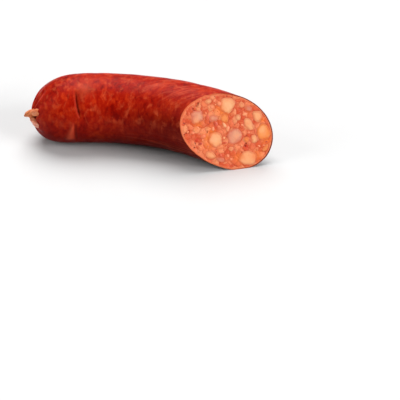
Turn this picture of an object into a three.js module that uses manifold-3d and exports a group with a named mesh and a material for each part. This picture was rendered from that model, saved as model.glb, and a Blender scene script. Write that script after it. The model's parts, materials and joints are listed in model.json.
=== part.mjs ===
// A cut half of a cured ring sausage, lying on its side: a bent length of coarse sausage in a
// natural casing, knotted at one end and sliced on a slant at the other.
//
// Frame, in millimetres: +Z is up and z = 0 is the table. +X runs along the chord of the bend,
// from the knotted end to the cut. The origin is on the table under the middle of the centreline.

import * as THREE from "three";
import { mergeVertices } from "three/addons/utils/BufferGeometryUtils.js";
import Module from "manifold-3d";

// --- Driving dimensions -------------------------------------------------------------------

const RADIUS = 21; // at the cut, a 42 mm calibre
const TAPER = 0.04; // share of the radius lost by the knotted end
const BEND_RADIUS = 122.5; // of the centreline, seen from above
const BEND_SWEEP = THREE.MathUtils.degToRad(57.6); // along the centreline, from the tip to the cut
const REST_DEPTH = 0.4; // how far the sausage's own weight flattens its underside

// The closed end rounds off as a superellipse, and hangs a little toward its tip.
const DOME = { length: 26.5, fullness: 2.3, droop: 4 };

const CASING_WALL = 0.5;
const CASING_TO_FILLING = 0.15;
const FAT_TO_FILLING = 0.3;

const CUT_BIAS = THREE.MathUtils.degToRad(41); // slant of the knife from a square cut
const CUT_LEAN = THREE.MathUtils.degToRad(34.5); // how far that slant is turned up from level

// The knotted end. Aside is out from the bend's centre and up is +Z, both from the tip.
const KNOT_PLACE = { aside: 0, up: 3.6 };
// A short tail of gathered casing: its radius at each distance out from the dome.
const TAIL_OUTLINE = [
  { radius: 0, out: -1.6 },
  { radius: 4.4, out: -0.7 },
  { radius: 2.7, out: 0.5 },
  { radius: 1.8, out: 1.7 },
  { radius: 1.6, out: 3.3 },
  { radius: 1.2, out: 4.7 },
  { radius: 0, out: 5.4 },
];
// Folds of casing that lie on the dome beside the tail, each from one place to another.
const FOLDS = [
  { from: [0.2, 3.4], to: [-6.2, 9.0], width: 4.2, thickness: 2.4 },
  { from: [-0.4, -0.3], to: [-8.4, -1.2], width: 2.8, thickness: 2.0 },
];

// Pieces of back fat that the knife has laid open. Seen on the cut face as on a clock's dial,
// clock is the hour toward which a piece lies and out is its share of the way to the rim.
// Width is across the face and height up it, before turn, in degrees anticlockwise.
const PEACH = 0xf9b384;
const PINK = 0xeaa08c;
const ORANGE = 0xf9a258;
const FAT_PIECES = [
  { clock: 12, out: 0.7, width: 8, height: 8.5, turn: 20, colour: PEACH },
  { clock: 10, out: 0.75, width: 7, height: 7, turn: 0, colour: PINK },
  { clock: 4.5, out: 0.15, width: 8.5, height: 8, turn: 10, colour: PINK },
  { clock: 8.25, out: 0.4, width: 7.5, height: 8, turn: 0, colour: PEACH },
  { clock: 3.25, out: 0.75, width: 7, height: 8.5, turn: 0, colour: ORANGE },
  { clock: 5, out: 0.75, width: 10, height: 7.5, turn: 5, colour: PEACH },
  { clock: 2.25, out: 0.8, width: 5, height: 6, turn: 10, colour: PEACH },
  { clock: 2.5, out: 0.5, width: 4, height: 7.5, turn: 25, colour: PEACH },
  { clock: 3.75, out: 0.55, width: 3.5, height: 4.5, turn: 10, colour: PEACH },
  { clock: 4, out: 0.4, width: 3, height: 3, turn: 0, colour: ORANGE },
  { clock: 1, out: 0.8, width: 3, height: 3, turn: 0, colour: PEACH },
  { clock: 11, out: 0.85, width: 3.5, height: 2.5, turn: 10, colour: PEACH },
  { clock: 1.5, out: 0.8, width: 4, height: 3, turn: -30, colour: PINK },
  { clock: 11.5, out: 0.35, width: 4.5, height: 4.5, turn: -25, colour: ORANGE },
  { clock: 1.25, out: 0.45, width: 3, height: 3.5, turn: 0, colour: PEACH },
  { clock: 10.5, out: 0.45, width: 5, height: 3.5, turn: 0, colour: PINK },
  { clock: 7.5, out: 0.8, width: 5.5, height: 3.5, turn: -25, colour: PEACH },
  { clock: 6, out: 0.45, width: 3, height: 2.5, turn: 0, colour: PEACH },
  { clock: 4, out: 0.85, width: 2.5, height: 4.5, turn: -35, colour: ORANGE },
  { clock: 6.75, out: 0.8, width: 4.5, height: 2.5, turn: -15, colour: PINK },
];
const FAT_DEPTH_SHARE = 0.9; // a piece's depth, as a share of its mean width
const FAT_SINK = 0.3; // how far its middle lies below the cut, as a share of half its depth
const FAT_DENT = 0.07; // how far its skin wavers in and out, as a share of its size

// Fineness of the surfaces.
const SEGMENTS = 44; // round the sausage
const DOME_STEPS = 9;
const BODY_STEPS = 16;
const TAIL_SEGMENTS = 16;
const LUMP_DETAIL = 2;

// --- Worked out from the driving dimensions -----------------------------------------------

const CUT_STATION = BEND_RADIUS * BEND_SWEEP; // along the centreline from the tip
const STOCK_LENGTH = CUT_STATION + 1.6 * RADIUS * Math.tan(CUT_BIAS);
const KNIFE_SIZE = 4 * RADIUS;

const UP = new THREE.Vector3(0, 0, 1);
const cut = cutPlane();

const wasm = await Module();
wasm.setup();

// --- The bend and the cut -----------------------------------------------------------------

/** Radius of the sausage's body at a station along the centreline. */
function radiusAt(station) {
  return RADIUS * (1 - TAPER * Math.max(0, 1 - station / CUT_STATION));
}

/** Directions at a station: on along the centreline, and out from the bend's centre. */
function directionsAt(station) {
  const angle = station / BEND_RADIUS - BEND_SWEEP / 2;
  return {
    on: new THREE.Vector3(Math.cos(angle), -Math.sin(angle), 0),
    out: new THREE.Vector3(Math.sin(angle), Math.cos(angle), 0),
  };
}

/** The point of the bend at a station, moved out from the bend's centre and up. */
function pointAt(station, aside, up) {
  const toTip = Math.max(0, 1 - station / DOME.length);
  const height = radiusAt(station) - REST_DEPTH - DOME.droop * toTip ** 2;
  return directionsAt(station)
    .out.multiplyScalar(BEND_RADIUS + aside)
    .add(new THREE.Vector3(0, -BEND_RADIUS, height + up));
}

/** The point on the skin of the closed end that lies aside of and up from its tip. */
function domePoint(aside, up) {
  const share = Math.hypot(aside, up) / radiusAt(0);
  const toTip = (1 - share ** DOME.fullness) ** (1 / DOME.fullness);
  return pointAt(DOME.length * (1 - toTip), aside, up);
}

/** The plane of the cut: its centre, its normal, and the two directions that lie in it. */
function cutPlane() {
  const { on, out } = directionsAt(CUT_STATION);
  const lean = out
    .multiplyScalar(-Math.cos(CUT_LEAN))
    .addScaledVector(UP, Math.sin(CUT_LEAN));
  const normal = on
    .clone()
    .multiplyScalar(Math.cos(CUT_BIAS))
    .addScaledVector(lean, Math.sin(CUT_BIAS));
  const across = new THREE.Vector3().crossVectors(UP, normal).normalize();
  const rise = new THREE.Vector3().crossVectors(normal, across);
  return { centre: pointAt(CUT_STATION, 0, 0), on, normal, across, rise };
}

// --- Solids -------------------------------------------------------------------------------

/** A closed geometry as a manifold-3d solid. */
function solid(geometry) {
  const bare = geometry.index ? geometry.toNonIndexed() : geometry.clone();
  bare.deleteAttribute("normal");
  bare.deleteAttribute("uv");
  const merged = mergeVertices(bare, 1e-4);
  return new wasm.Manifold(
    new wasm.Mesh({
      numProp: 3,
      vertProperties: merged.getAttribute("position").array,
      triVerts: new Uint32Array(merged.index.array),
    }),
  );
}

/** A manifold-3d solid as a named mesh. */
function piece(name, made, colour, roughness) {
  const mesh = made.getMesh();
  const geometry = new THREE.BufferGeometry();
  geometry.setAttribute(
    "position",
    new THREE.BufferAttribute(new Float32Array(mesh.vertProperties), 3),
  );
  geometry.setIndex(new THREE.BufferAttribute(new Uint32Array(mesh.triVerts), 1));
  geometry.computeVertexNormals();
  const material = new THREE.MeshStandardMaterial({ color: colour, roughness, metalness: 0 });
  const part = new THREE.Mesh(geometry, material);
  part.name = name;
  return part;
}

/** The bent sausage, uncut, with its surface moved in by inset. */
function stock(inset) {
  const outline = [new THREE.Vector2(0, inset)];
  for (let i = 1; i <= DOME_STEPS; i++) {
    const turn = (Math.PI / 2) * (i / DOME_STEPS);
    const toTip = i < DOME_STEPS ? Math.cos(turn) ** (2 / DOME.fullness) : 0;
    const station = DOME.length - (DOME.length - inset) * toTip;
    const share = Math.sin(turn) ** (2 / DOME.fullness);
    outline.push(new THREE.Vector2((radiusAt(station) - inset) * share, station));
  }
  for (let i = 1; i <= BODY_STEPS; i++) {
    const station = THREE.MathUtils.lerp(DOME.length, STOCK_LENGTH + inset, i / BODY_STEPS);
    outline.push(new THREE.Vector2(radiusAt(station) - inset, station));
  }
  outline.push(new THREE.Vector2(0, STOCK_LENGTH + inset));

  const geometry = new THREE.LatheGeometry(outline, SEGMENTS);
  const position = geometry.getAttribute("position");
  for (let i = 0; i < position.count; i++) {
    const point = pointAt(position.getY(i), position.getX(i), -position.getZ(i));
    position.setXYZ(i, point.x, point.y, Math.max(point.z, inset));
  }
  return solid(geometry);
}

/** Everything that the knife takes away: all that lies beyond the cut. */
function beyondTheCut() {
  const block = new THREE.BoxGeometry(KNIFE_SIZE, KNIFE_SIZE, KNIFE_SIZE);
  const turn = new THREE.Quaternion().setFromUnitVectors(UP, cut.normal);
  const centre = cut.centre.clone().addScaledVector(cut.normal, KNIFE_SIZE / 2);
  block.applyQuaternion(turn).translate(...centre.toArray());
  return solid(block);
}

/** The short tail of gathered casing that sticks out of the closed end. */
function tail() {
  const outline = TAIL_OUTLINE.map(({ radius, out }) => new THREE.Vector2(radius, out));
  const { on, out } = directionsAt(0);
  const frame = new THREE.Matrix4().makeBasis(out, on.negate(), UP);
  frame.setPosition(domePoint(KNOT_PLACE.aside, KNOT_PLACE.up));
  return solid(new THREE.LatheGeometry(outline, TAIL_SEGMENTS).applyMatrix4(frame));
}

/** A fold of casing: a flat rounded lump that lies along the skin of the closed end. */
function fold({ from, to, width, thickness }) {
  const start = domePoint(...from);
  const end = domePoint(...to);
  const along = end.clone().sub(start);
  const length = along.length();
  along.normalize();
  const outward = directionsAt(0).on.negate();
  const sideways = new THREE.Vector3().crossVectors(outward, along).normalize();
  outward.crossVectors(along, sideways);
  const lump = new THREE.IcosahedronGeometry(0.5, LUMP_DETAIL);
  lump.scale(length, width, thickness);
  const frame = new THREE.Matrix4().makeBasis(along, sideways, outward);
  frame.setPosition(start.add(end).multiplyScalar(0.5));
  return solid(lump.applyMatrix4(frame));
}

/** The way from the middle of the cut to the rim, toward an hour of its dial. */
function wayToRim(clock) {
  const turn = (clock / 12) * 2 * Math.PI;
  const toward = cut.rise
    .clone()
    .multiplyScalar(Math.cos(turn))
    .addScaledVector(cut.across, Math.sin(turn));
  return toward.multiplyScalar(RADIUS / Math.sqrt(1 - toward.dot(cut.on) ** 2));
}

/** A rounded piece of fat at its place in the cut face, grown on every side by extra. */
function fatLump(fat, index, extra) {
  const lump = new THREE.IcosahedronGeometry(1, LUMP_DETAIL);
  const position = lump.getAttribute("position");
  const depth = (FAT_DEPTH_SHARE * (fat.width + fat.height)) / 4;
  const opened = Math.sqrt(1 - FAT_SINK ** 2); // the share of its width that the cut lays open
  for (let i = 0; i < position.count; i++) {
    const v = new THREE.Vector3().fromBufferAttribute(position, i);
    const wave = Math.sin(3 * v.x + 2.1 * index) * Math.cos(2.5 * v.y + index);
    const size = 1 + FAT_DENT * wave;
    position.setXYZ(
      i,
      v.x * ((size * fat.width) / 2 / opened + extra),
      v.y * ((size * fat.height) / 2 / opened + extra),
      v.z * (size * depth + extra),
    );
  }
  lump.rotateZ(THREE.MathUtils.degToRad(fat.turn));
  const frame = new THREE.Matrix4().makeBasis(cut.across, cut.rise, cut.on);
  const centre = cut.centre
    .clone()
    .addScaledVector(wayToRim(fat.clock), fat.out)
    .addScaledVector(cut.on, -FAT_SINK * depth);
  return solid(lump.applyMatrix4(frame.setPosition(centre)));
}

// --- The sausage --------------------------------------------------------------------------

const offcut = beyondTheCut();
const fillingStock = stock(CASING_WALL + CASING_TO_FILLING).subtract(offcut);
const fatRoom = stock(CASING_WALL + CASING_TO_FILLING + FAT_TO_FILLING).subtract(offcut);

const casing = FOLDS.reduce((made, shape) => made.add(fold(shape)), stock(0).add(tail()))
  .subtract(stock(CASING_WALL))
  .subtract(offcut);

const filling = FAT_PIECES.reduce(
  (made, fat, index) => made.subtract(fatLump(fat, index, FAT_TO_FILLING)),
  fillingStock,
);

const sausage = new THREE.Group();
sausage.name = "cured_sausage_half";
sausage.add(piece("casing", casing, 0xa32410, 0.35));
sausage.add(piece("filling", filling, 0xdc6a44, 0.5));
FAT_PIECES.forEach((fat, index) => {
  const name = `fat_piece_${String(index + 1).padStart(2, "0")}`;
  sausage.add(piece(name, fatLump(fat, index, 0).intersect(fatRoom), fat.colour, 0.45));
});

export default sausage;
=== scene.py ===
"""A cut half of a cured ring sausage on a pale floor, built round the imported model.

The casing is a swept skin with creases, wrinkles and a gathered end, and the cut face is a
bed of ground meat with crumbs and pieces of back fat set in it. Sizes are in metres, in the
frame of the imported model: +Z up, +X from the knotted end to the cut.
"""

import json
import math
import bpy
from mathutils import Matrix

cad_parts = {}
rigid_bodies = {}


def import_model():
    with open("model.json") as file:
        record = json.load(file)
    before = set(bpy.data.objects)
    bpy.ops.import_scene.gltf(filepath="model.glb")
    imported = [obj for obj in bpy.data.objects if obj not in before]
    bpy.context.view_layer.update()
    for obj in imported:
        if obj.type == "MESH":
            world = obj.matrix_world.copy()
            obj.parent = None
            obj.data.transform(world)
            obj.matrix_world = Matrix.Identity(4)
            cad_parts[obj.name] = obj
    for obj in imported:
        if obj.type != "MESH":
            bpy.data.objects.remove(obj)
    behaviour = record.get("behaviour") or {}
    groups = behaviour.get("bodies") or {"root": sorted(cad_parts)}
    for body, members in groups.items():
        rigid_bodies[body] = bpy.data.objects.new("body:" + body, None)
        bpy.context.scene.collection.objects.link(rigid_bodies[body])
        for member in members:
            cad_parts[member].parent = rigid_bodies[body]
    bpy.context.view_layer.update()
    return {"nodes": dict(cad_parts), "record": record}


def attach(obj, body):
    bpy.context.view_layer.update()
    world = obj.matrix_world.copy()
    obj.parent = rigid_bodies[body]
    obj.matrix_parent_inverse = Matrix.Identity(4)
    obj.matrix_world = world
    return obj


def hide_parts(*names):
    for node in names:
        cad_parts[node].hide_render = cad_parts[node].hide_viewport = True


bl_info = {
    "name": "Cured Sausage Half",
    "version": (1, 0, 0),
    "blender": (4, 5, 0),
    "location": "View3D > Sidebar > Sausage",
    "description": "Builds a cut half of cured ring sausage piece by piece",
    "category": "Add Mesh",
}

import bmesh
import bpy
import numpy as np
from bpy.props import FloatProperty, FloatVectorProperty, IntProperty, PointerProperty
from mathutils import Vector, noise
from mathutils.bvhtree import BVHTree
from mathutils.kdtree import KDTree

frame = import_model()

MM = 0.001
MOUNTS = {mount["name"]: mount for mount in frame["record"]["mounts"]}
FAT_NODES = sorted(name for name in frame["nodes"] if name.startswith("fat_piece"))


# --- Sizes and colours that a user would change ---------------------------------------------


def length(label, description, default):
    """A property that holds a length in metres."""
    return FloatProperty(name=label, description=description, default=default, unit="LENGTH",
                         precision=5)


def share(label, description, default):
    """A property that holds a share from 0 to 1."""
    return FloatProperty(name=label, description=description, default=default, subtype="FACTOR",
                         min=0, max=1)


def tint(label, description, red, green, blue):
    """A property that holds a colour, given as on a paint chart from 0 to 255."""
    return FloatVectorProperty(name=label, description=description, subtype="COLOR", size=3,
                               min=0, max=1, default=chart(red, green, blue))


def chart(red, green, blue):
    """A paint chart's 0 to 255 colour as the linear light that a shader takes."""
    parts = [value / 255 for value in (red, green, blue)]
    return tuple(p / 12.92 if p <= 0.04045 else ((p + 0.055) / 1.055) ** 2.4 for p in parts)


class SausageShape(bpy.types.PropertyGroup):
    """Sizes of the stuffed casing."""

    radius: length("Radius", "Of the stuffed body at the cut", 0.021)
    taper: share("Taper", "Share of the radius lost by the knotted end", 0.04)
    bend_radius: length("Bend Radius", "Of the centreline, seen from above", 0.1225)
    bend_sweep: FloatProperty(name="Bend Sweep", description="From the tip to the cut",
                              default=math.radians(57.6), subtype="ANGLE", unit="ROTATION")
    dome_length: length("Dome Length", "Over which the closed end rounds off", 0.0265)
    dome_fullness: FloatProperty(name="Dome Fullness", description="Superellipse exponent",
                                 default=2.3, min=1)
    tip_droop: length("Tip Droop", "How far the closed end hangs at its tip", 0.004)
    rest_depth: length("Rest Depth", "How far the underside is flattened", 0.0004)
    wall: length("Casing Wall", "Thickness of the casing", 0.0005)


class SausageSkin(bpy.types.PropertyGroup):
    """Depths of the casing's creases and wrinkles."""

    lumpiness: length("Lumpiness", "Of the stuffing felt through the casing", 0.0004)
    wrinkle_depth: length("Wrinkle Depth", "Of the slanting wrinkles by the cut", 0.00036)
    crease_depth: length("Crease Depth", "Of the crease round the closed end", 0.0013)
    pleat_depth: length("Pleat Depth", "Of the pleats that run to the knot", 0.00035)
    seed: IntProperty(name="Seed", description="Of lumps, flats, holes, crumbs", default=7, min=0)


class SausageColours(bpy.types.PropertyGroup):
    """Colours of the casing, the meat and the fat."""

    casing_deep: tint("Casing Deep", "Darkest red of the casing", 132, 7, 1)
    casing_red: tint("Casing Red", "Main red of the casing", 166, 21, 3)
    casing_warm: tint("Casing Warm", "Casing over fat and paprika oil", 208, 58, 18)
    meat: tint("Meat", "Ground meat on the cut", 222, 90, 50)
    meat_dark: tint("Dark Meat", "Dark grains on the cut", 186, 56, 30)
    meat_pale: tint("Pale Meat", "Fat smeared through the meat", 242, 136, 90)
    oil: tint("Oil", "Paprika oil round the fat", 242, 122, 50)
    fat_peach: tint("Peach Fat", "Most pieces of fat", 246, 170, 118)
    fat_pink: tint("Pink Fat", "Pieces with a little meat in them", 220, 135, 108)
    fat_orange: tint("Orange Fat", "Pieces stained with paprika", 246, 150, 78)
    knot: tint("Knot", "Dried casing of the knot", 216, 124, 70)


# --- Node trees written as expressions ------------------------------------------------------


class Wire:
    """An output socket. Arithmetic on it adds Math nodes, or Vector Math nodes for vectors."""

    def __init__(self, graph, socket):
        self.graph = graph
        self.socket = socket

    def other(self, name):
        """Another output of the same node."""
        return Wire(self.graph, self.socket.node.outputs[name])

    def __add__(self, other):
        return self.graph.join("ADD", self, other)

    def __radd__(self, other):
        return self.graph.join("ADD", other, self)

    def __sub__(self, other):
        return self.graph.join("SUBTRACT", self, other)

    def __rsub__(self, other):
        return self.graph.join("SUBTRACT", other, self)

    def __mul__(self, other):
        return self.graph.join("MULTIPLY", self, other)

    def __rmul__(self, other):
        return self.graph.join("MULTIPLY", other, self)

    def __truediv__(self, other):
        return self.graph.join("DIVIDE", self, other)

    def __rtruediv__(self, other):
        return self.graph.join("DIVIDE", other, self)

    def __pow__(self, other):
        return self.graph.join("POWER", self, other)


class Graph:
    """A node tree, with one way to add a node and short names for the usual ones."""

    def __init__(self, tree):
        self.tree = tree
        self.group_input = None

    def add(self, kind, settings=None, inputs=None, output=0):
        """Adds a node of a kind, applies its settings, fills its sockets and returns an output."""
        node = self.tree.nodes.new(kind)
        for name, value in (settings or {}).items():
            if name == "stops":
                self.set_stops(node.color_ramp, value)
            else:
                setattr(node, name, value)
        for key, value in (inputs or {}).items():
            if isinstance(value, Wire):
                self.tree.links.new(value.socket, node.inputs[key])
            else:
                node.inputs[key].default_value = value
        return Wire(self, node.outputs[output]) if len(node.outputs) else node

    @staticmethod
    def set_stops(ramp, stops):
        """Gives a colour ramp its stops, each a place and a colour."""
        while len(ramp.elements) < len(stops):
            ramp.elements.new(0.5)
        for element, (place, colour) in zip(ramp.elements, stops):
            element.position = place
            element.color = (*colour, 1)

    def join(self, operation, first, second):
        """Arithmetic on two values, numbers or vectors."""
        pair = (first, second)
        wires = [v.socket.type for v in pair if isinstance(v, Wire)]
        if "VECTOR" in wires or any(isinstance(v, tuple) for v in pair):
            pair = [(v,) * 3 if isinstance(v, (int, float)) else v for v in pair]
            return self.add("ShaderNodeVectorMath", {"operation": operation}, dict(enumerate(pair)))
        return self.add("ShaderNodeMath", {"operation": operation}, dict(enumerate(pair)))

    def math(self, operation, *values):
        """A Math node's other operations, such as SINE."""
        return self.add("ShaderNodeMath", {"operation": operation}, dict(enumerate(values)))

    def given(self, name):
        """A named input of a geometry tree."""
        return Wire(self, self.group_input.outputs[name])

    def split(self, vector):
        """The three parts of a vector."""
        x = self.add("ShaderNodeSeparateXYZ", None, {0: vector})
        return x, x.other("Y"), x.other("Z")

    def pack(self, x, y, z):
        """A vector from three parts."""
        return self.add("ShaderNodeCombineXYZ", None, {0: x, 1: y, 2: z})

    def ease(self, value, low, high):
        """Rises smoothly from 0 at low to 1 at high."""
        return self.add("ShaderNodeMapRange", {"interpolation_type": "SMOOTHSTEP"},
                        {"Value": value, "From Min": low, "From Max": high})

    def bell(self, offset, width):
        """1 where offset is 0, falling off over width either side."""
        scaled = offset / width
        return self.math("EXPONENT", scaled * scaled * -1)

    def cloud(self, vector, scale, detail=2.0, roughness=0.5, distortion=0.0):
        """Smooth noise from 0 to 1, with features about 1/scale metres across."""
        return self.add("ShaderNodeTexNoise", None, {
            "Vector": vector, "Scale": scale, "Detail": detail,
            "Roughness": roughness, "Distortion": distortion})

    def cells(self, vector, scale, feature="F1", output="Distance"):
        """A mosaic of cells about 1/scale metres across."""
        return self.add("ShaderNodeTexVoronoi", {"feature": feature},
                        {"Vector": vector, "Scale": scale}, output)

    def blend(self, factor, first, second):
        """A mix of two colours."""
        colours = {6: first, 7: second}
        colours = {k: (*v, 1) if isinstance(v, tuple) else v for k, v in colours.items()}
        return self.add("ShaderNodeMix", {"data_type": "RGBA"}, {0: factor, **colours}, 2)

    def stored(self, name, output="Fac"):
        """An attribute that the mesh carries, in a material."""
        return self.add("ShaderNodeAttribute", {"attribute_name": name}, None, output)

    def kept(self, name, kind="FLOAT"):
        """An attribute that the mesh carries, in a geometry tree."""
        return self.add("GeometryNodeInputNamedAttribute", {"data_type": kind}, {"Name": name})

    def random(self, low, high, seed):
        """A random number for each element."""
        return self.add("FunctionNodeRandomValue", {"data_type": "FLOAT"},
                        {"Min": low, "Max": high, "Seed": seed}, "Value")


def geometry_graph(name, sizes):
    """A new geometry tree with a mesh in, a mesh out and a named input for each size."""
    tree = bpy.data.node_groups.new(name, "GeometryNodeTree")
    tree.interface.new_socket("Mesh", in_out="OUTPUT", socket_type="NodeSocketGeometry")
    tree.interface.new_socket("Mesh", in_out="INPUT", socket_type="NodeSocketGeometry")
    for label, kind in sizes.items():
        tree.interface.new_socket(label, in_out="INPUT", socket_type="NodeSocket" + kind)
    graph = Graph(tree)
    graph.group_input = tree.nodes.new("NodeGroupInput")
    return graph


def finish_geometry(graph, geometry, material):
    """Ends a geometry tree in real mesh with its material."""
    real = graph.add("GeometryNodeRealizeInstances", None, {0: geometry})
    painted = graph.add("GeometryNodeSetMaterial", None, {"Geometry": real, "Material": material})
    graph.add("NodeGroupOutput", None, {0: painted})
    return graph.tree


def grown(name, tree, values, start=None):
    """The plain mesh that a geometry tree makes from a starting mesh with these values."""
    host = bpy.data.objects.new(name, start or bpy.data.meshes.new(name))
    bpy.context.scene.collection.objects.link(host)
    modifier = host.modifiers.new("Shape", "NODES")
    modifier.node_group = tree
    sockets = [item for item in tree.interface.items_tree if item.in_out == "INPUT"]
    identifiers = {item.name: item.identifier for item in sockets}
    for label, value in values.items():
        modifier[identifiers[label]] = value
    evaluated = host.evaluated_get(bpy.context.evaluated_depsgraph_get())
    mesh = bpy.data.meshes.new_from_object(evaluated)
    bpy.data.objects.remove(host)
    return mesh


# --- The shape of the stuffed casing --------------------------------------------------------


class Cut:
    """The plane of the knife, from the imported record, and directions that lie in it."""

    def __init__(self, shape):
        face = MOUNTS["cut_face"]
        self.point = np.array(face["pos_m"])
        self.normal = np.array(face["axis"]) / np.linalg.norm(face["axis"])
        across = np.cross((0, 0, 1), self.normal)
        self.across = across / np.linalg.norm(across)
        self.rise = np.cross(self.normal, self.across)
        angle = shape.bend_sweep / 2
        self.on = np.array((math.cos(angle), -math.sin(angle), 0))
        on_axis = np.array((shape.bend_radius * math.sin(angle),
                            shape.bend_radius * (math.cos(angle) - 1),
                            shape.radius - shape.rest_depth))
        gap = (self.point - on_axis) @ self.normal
        self.centre = on_axis + self.on * gap / (self.on @ self.normal)

    def height(self, points):
        """How far points stand out of the plane."""
        return (points - self.point) @ self.normal

    def slide(self, points):
        """Points moved along the sausage until they lie in the plane."""
        reach = self.height(points) / (self.on @ self.normal)
        return points - reach[..., None] * self.on


SKIN_RINGS = 300
SKIN_COLUMNS = 297
# The rings that have a copy inside the wall, from the cut to the closed end.
INNER_ROWS = [SKIN_RINGS - 1 - step for step in
              (0, 2, 6, 14, 30, 60, 100, 150, 200, 225, 245, 262, 276, 288)]
# How much deeper than the wall each lies, to keep clear of the creases.
INNER_DEPTHS = np.interp(range(len(INNER_ROWS)), (3, 5), (0, 2.2 * MM))
DOME_SHARE = 0.3  # of the rings, over the closed end
KNOT_UP = 3.6 * MM  # the tail stands this far above the tip
PIT = (-3.5 * MM, 2.9 * MM)  # the hollow beside the tail, aside and up from the tip
EVENED = 13  # columns either side over which the way in from the skin is evened out
SLACK = ((188, 27), (295, 26))  # degrees round to the slack skin's middle, and its width
WRINKLE_SLANT = 0.8  # how far the wrinkles climb round the casing for each step along it


def skin_graph(material):
    """The skin of the stuffed casing: a grid swept round a bend and closed by a dome."""
    g = geometry_graph("Stuffed Skin", {
        "Radius": "Float", "Taper": "Float", "Bend Radius": "Float", "Sweep": "Float",
        "Dome Length": "Float", "Fullness": "Float", "Droop": "Float", "Rest Depth": "Float",
        "Cut Point": "Vector", "Cut Normal": "Vector", "Rings": "Int", "Columns": "Int",
        "Lumpiness": "Float", "Wrinkle Depth": "Float", "Crease Depth": "Float",
        "Pleat Depth": "Float", "Shift": "Float"})
    radius, bend, sweep = g.given("Radius"), g.given("Bend Radius"), g.given("Sweep")
    dome, rest = g.given("Dome Length"), g.given("Rest Depth")
    grid = g.add("GeometryNodeMeshGrid", None, {
        "Size X": 1.0, "Size Y": 1.0, "Vertices X": g.given("Rings"),
        "Vertices Y": g.given("Columns")})
    gx, gy, _ = g.split(g.add("GeometryNodeInputPosition"))
    turn = (0.5 - gy) * math.tau
    sine, cosine = g.math("SINE", turn), g.math("COSINE", turn)

    # Where a line along the skin meets the knife's plane.
    normal = g.given("Cut Normal")
    nx, ny, nz = g.split(normal)
    level = g.add("ShaderNodeVectorMath", {"operation": "DOT_PRODUCT"},
                  {0: normal, 1: g.given("Cut Point")}, "Value")
    low = g.math("MAXIMUM", (radius - rest) - radius * cosine, 0.0)
    flat = g.math("SQRT", nx * nx + ny * ny)
    target = (level + ny * bend - nz * low) / (flat * (bend + radius * sine))
    cut_angle = g.math("ARCSINE", target) - g.math("ARCTAN2", ny, nx)
    cut_station = (cut_angle + sweep / 2) * bend

    # Stations along the centreline, with the last ring on the plane.
    dome_turn = g.math("MINIMUM", (gx + 0.5) / DOME_SHARE, 1.0) * (math.pi / 2)
    power = 2 / g.given("Fullness")
    to_tip = g.math("MAXIMUM", g.math("COSINE", dome_turn), 0.0) ** power
    along = g.math("MAXIMUM", (gx + 0.5 - DOME_SHARE) / (1 - DOME_SHARE), 0.0)
    whole = bend * sweep
    station = (dome * (1 - to_tip) + along * (whole - dome)
               + along * along * (cut_station - whole))
    body = radius * (1 - g.given("Taper") * g.math("MAXIMUM", 1 - station / whole, 0.0))
    ring = body * g.math("SINE", dome_turn) ** power
    aside, up = ring * sine, ring * cosine * -1
    angle = station / bend - sweep / 2
    height = body - rest - g.given("Droop") * to_tip * to_tip
    out = bend + aside
    placed = g.pack(out * g.math("SINE", angle), out * g.math("COSINE", angle) - bend,
                    g.math("MAXIMUM", height + up, 0.0))
    straight = g.pack(station, aside, up)

    # The skin's own shape, kept as attributes before the vertices move.
    mesh = store(g, grid, "straight", straight, "FLOAT_VECTOR")
    mesh = store(g, mesh, "turn", turn)
    mesh = g.add("GeometryNodeSetPosition", None, {"Geometry": mesh, "Position": placed})

    straight, turn = g.kept("straight", "FLOAT_VECTOR"), g.kept("turn")
    station, aside, up = g.split(straight)
    relief, slit, painted_lip_sheen = creases(g, station, turn)
    knot, pit = gathers(g, station, aside, up)
    # Painted shade: dark in and beside the creases and in the hollow beside the knot.
    mesh = store(g, mesh, "slit", g.math("MAXIMUM", slit, pit))
    wrinkled, crest = wrinkles(g, station, turn)
    # Painted highlight: paler along the wrinkle crests, the crease lips and the swell.
    mesh = store(g, mesh, "crest", g.math("MAXIMUM", crest, painted_lip_sheen))
    raised = lumps(g, straight) + wrinkled + relief + knot
    normal = g.add("GeometryNodeInputNormal")
    mesh = g.add("GeometryNodeSetPosition", None, {"Geometry": mesh, "Offset": normal * raised})
    return finish_geometry(g, mesh, material)


def store(g, mesh, name, value, kind="FLOAT", domain="POINT"):
    """Keeps a value on every vertex of a mesh, or on every instance."""
    return g.add("GeometryNodeStoreNamedAttribute", {"data_type": kind, "domain": domain},
                 {"Geometry": mesh, "Name": name, "Value": value})


def lumps(g, straight):
    """The stuffing felt through the casing, coarse and fine."""
    moved = straight + g.given("Shift")
    coarse = g.cloud(moved, 48.0, 1.0) - 0.5
    fine = g.cloud(moved, 170.0, 2.0) - 0.5
    return (coarse * 2 + fine * 0.7) * g.given("Lumpiness")


def wrinkles(g, station, turn):
    """Wrinkles where the casing is slack beside the cut, on a slant up over its top."""
    lean = 1 - g.ease(turn, math.radians(222), math.radians(262))
    slanted = turn * 0.021 + station * lean * WRINKLE_SLANT
    drawn = g.pack(station * 0.11, slanted, 0.0)
    ridges = g.math("ABSOLUTE", g.cloud(drawn, 300.0, 2.0, 0.5, 0.3) * 2 - 1)
    fine = g.cloud(drawn, 850.0, 1.0) - 0.5
    upper, lower = (g.bell(turn - math.radians(middle), math.radians(width))
                    for middle, width in SLACK)
    slack = (g.ease(station, 0.060, 0.085) * upper + g.ease(station, 0.045, 0.09) * lower * 0.8)
    drawn_tight = g.ease(g.cloud(drawn, 90.0, 1.0), 0.38, 0.6)
    # Painted highlight: a pale sheen along the crests of the wrinkles.
    crest = (1 - g.ease(ridges, 0.0, 0.2)) * drawn_tight * slack
    return (0.32 - ridges * 1.6 + fine * 0.6) * slack * g.given("Wrinkle Depth"), crest


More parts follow.
